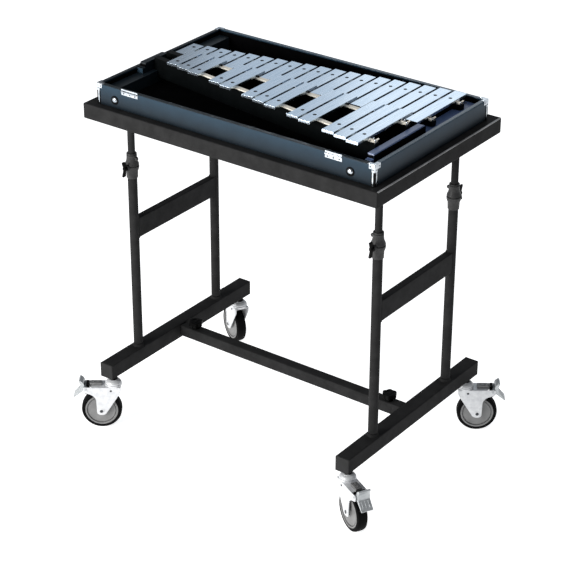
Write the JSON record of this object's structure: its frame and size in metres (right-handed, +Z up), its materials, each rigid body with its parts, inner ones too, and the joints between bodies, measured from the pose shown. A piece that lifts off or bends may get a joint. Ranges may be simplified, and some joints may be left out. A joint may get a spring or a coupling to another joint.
{
  "type": "glockenspiel on rolling stand",
  "caption": "Steel-bar glockenspiel in an open shallow case, resting on a height-adjustable frame stand with braked swivel casters.",
  "frame": {"origin": "on the ground below the middle of the stand", "axes": "+Z up; +X towards the low notes; +Y towards the player, -Y towards the audience"},
  "size_m": [0.9286, 0.6762, 0.963],
  "materials": {
    "bar_steel": "nickel-plated steel, fine lengthwise brushing, satin",
    "stand_paint": "black powder coat, fine texture, semi-matt",
    "black_plastic": "black moulded plastic, slight sheen",
    "case_paint": "plywood with dark steel-blue vinyl covering, satin",
    "frame_paint": "wood painted light steel blue, satin",
    "bright_zinc": "bright zinc plate",
    "pedal_steel": "pressed zinc-plated steel, satin",
    "tyre_rubber": "black rubber tread, semi-matt"
  },
  "bodies": {
    "base": {"side_frame_left": "stand_paint", "side_frame_right": "stand_paint", "stretcher_bar": "stand_paint", "height_collar_front_left": "stand_paint", "height_collar_front_right": "stand_paint", "height_collar_rear_left": "stand_paint", "height_collar_rear_right": "stand_paint"},
    "table": {"table_frame": "stand_paint"},
    "instrument": {"case_tub": "case_paint", "bar_frame": "frame_paint", "bar_f5": "bar_steel", "bar_f_sharp_5": "bar_steel", "bar_g5": "bar_steel", "bar_g_sharp_5": "bar_steel", "bar_a5": "bar_steel", "bar_a_sharp_5": "bar_steel", "bar_b5": "bar_steel", "bar_c6": "bar_steel", "bar_c_sharp_6": "bar_steel", "bar_d6": "bar_steel", "bar_d_sharp_6": "bar_steel", "bar_e6": "bar_steel", "bar_f6": "bar_steel", "bar_f_sharp_6": "bar_steel", "bar_g6": "bar_steel", "bar_g_sharp_6": "bar_steel", "bar_a6": "bar_steel", "bar_a_sharp_6": "bar_steel", "bar_b6": "bar_steel", "bar_c7": "bar_steel", "bar_c_sharp_7": "bar_steel", "bar_d7": "bar_steel", "bar_d_sharp_7": "bar_steel", "bar_e7": "bar_steel", "bar_f7": "bar_steel", "bar_f_sharp_7": "bar_steel", "bar_g7": "bar_steel", "bar_g_sharp_7": "bar_steel", "bar_a7": "bar_steel", "bar_a_sharp_7": "bar_steel", "bar_b7": "bar_steel", "bar_c8": "bar_steel"},
    "stretcher_knob_left": {"stretcher_knob_left": "black_plastic"},
    "stretcher_knob_right": {"stretcher_knob_right": "black_plastic"},
    "clamp_front_left": {"clamp_screw_front_left": "black_plastic"},
    "clamp_front_right": {"clamp_screw_front_right": "black_plastic"},
    "clamp_rear_left": {"clamp_screw_rear_left": "black_plastic"},
    "clamp_rear_right": {"clamp_screw_rear_right": "black_plastic"},
    "fork_front_left": {"caster_fork_front_left": "bright_zinc"},
    "wheel_front_left": {"caster_wheel_front_left": "tyre_rubber"},
    "pedal_front_left": {"brake_pedal_front_left": "pedal_steel"},
    "fork_front_right": {"caster_fork_front_right": "bright_zinc"},
    "wheel_front_right": {"caster_wheel_front_right": "tyre_rubber"},
    "pedal_front_right": {"brake_pedal_front_right": "pedal_steel"},
    "fork_rear_left": {"caster_fork_rear_left": "bright_zinc"},
    "wheel_rear_left": {"caster_wheel_rear_left": "tyre_rubber"},
    "pedal_rear_left": {"brake_pedal_rear_left": "pedal_steel"},
    "fork_rear_right": {"caster_fork_rear_right": "bright_zinc"},
    "wheel_rear_right": {"caster_wheel_rear_right": "tyre_rubber"},
    "pedal_rear_right": {"brake_pedal_rear_right": "pedal_steel"}
  },
  "joints": [
    {"name": "table_height", "type": "slide", "parent": "base", "child": "table", "axis": [0, 0, 1], "range_m": [-0.09, 0.15]},
    {"name": "case_lift_off", "type": "slide", "parent": "table", "child": "instrument", "axis": [0, 0, 1], "range_m": [0, 0.12]},
    {"name": "stretcher_knob_left_turn", "type": "hinge", "parent": "base", "child": "stretcher_knob_left", "pos_m": [-0.305, 0, 0.196], "axis": [0, 0, 1], "range_deg": [0, 360]},
    {"name": "stretcher_knob_right_turn", "type": "hinge", "parent": "base", "child": "stretcher_knob_right", "pos_m": [0.305, 0, 0.196], "axis": [0, 0, 1], "range_deg": [0, 360]},
    {"name": "clamp_front_left_turn", "type": "hinge", "parent": "base", "child": "clamp_front_left", "pos_m": [-0.365, -0.1615, 0.698], "axis": [0, -1, 0], "range_deg": [0, 180]},
    {"name": "clamp_front_right_turn", "type": "hinge", "parent": "base", "child": "clamp_front_right", "pos_m": [0.365, -0.1615, 0.698], "axis": [0, -1, 0], "range_deg": [0, 180]},
    {"name": "clamp_rear_left_turn", "type": "hinge", "parent": "base", "child": "clamp_rear_left", "pos_m": [-0.365, 0.1615, 0.698], "axis": [0, 1, 0], "range_deg": [0, 180]},
    {"name": "clamp_rear_right_turn", "type": "hinge", "parent": "base", "child": "clamp_rear_right", "pos_m": [0.365, 0.1615, 0.698], "axis": [0, 1, 0], "range_deg": [0, 180]},
    {"name": "caster_swivel_front_left", "type": "hinge", "parent": "base", "child": "fork_front_left", "pos_m": [-0.365, -0.264, 0.136], "axis": [0, 0, 1], "continuous": true},
    {"name": "wheel_spin_front_left", "type": "hinge", "parent": "fork_front_left", "child": "wheel_front_left", "pos_m": [-0.39089, -0.28281, 0.052], "axis": [0.5878, -0.809, 0], "continuous": true},
    {"name": "brake_front_left", "type": "hinge", "parent": "fork_front_left", "child": "pedal_front_left", "pos_m": [-0.42163, -0.30514, 0.116], "axis": [0.5878, -0.809, 0], "range_deg": [0, 10]},
    {"name": "caster_swivel_front_right", "type": "hinge", "parent": "base", "child": "fork_front_right", "pos_m": [0.365, -0.264, 0.136], "axis": [0, 0, 1], "continuous": true},
    {"name": "wheel_spin_front_right", "type": "hinge", "parent": "fork_front_right", "child": "wheel_front_right", "pos_m": [0.39325, -0.27902, 0.052], "axis": [0.4695, 0.8829, 0], "continuous": true},
    {"name": "brake_front_right", "type": "hinge", "parent": "fork_front_right", "child": "pedal_front_right", "pos_m": [0.42681, -0.29686, 0.116], "axis": [0.4695, 0.8829, 0], "range_deg": [0, 10]},
    {"name": "caster_swivel_rear_left", "type": "hinge", "parent": "base", "child": "fork_rear_left", "pos_m": [-0.365, 0.264, 0.136], "axis": [0, 0, 1], "continuous": true},
    {"name": "wheel_spin_rear_left", "type": "hinge", "parent": "fork_rear_left", "child": "wheel_rear_left", "pos_m": [-0.39325, 0.27902, 0.052], "axis": [-0.4695, -0.8829, 0], "continuous": true},
    {"name": "brake_rear_left", "type": "hinge", "parent": "fork_rear_left", "child": "pedal_rear_left", "pos_m": [-0.42681, 0.29686, 0.116], "axis": [-0.4695, -0.8829, 0], "range_deg": [0, 10]},
    {"name": "caster_swivel_rear_right", "type": "hinge", "parent": "base", "child": "fork_rear_right", "pos_m": [0.365, 0.264, 0.136], "axis": [0, 0, 1], "continuous": true},
    {"name": "wheel_spin_rear_right", "type": "hinge", "parent": "fork_rear_right", "child": "wheel_rear_right", "pos_m": [0.39089, 0.28281, 0.052], "axis": [-0.5878, 0.809, 0], "continuous": true},
    {"name": "brake_rear_right", "type": "hinge", "parent": "fork_rear_right", "child": "pedal_rear_right", "pos_m": [0.42163, 0.30514, 0.116], "axis": [-0.5878, 0.809, 0], "range_deg": [0, 10]}
  ]
}
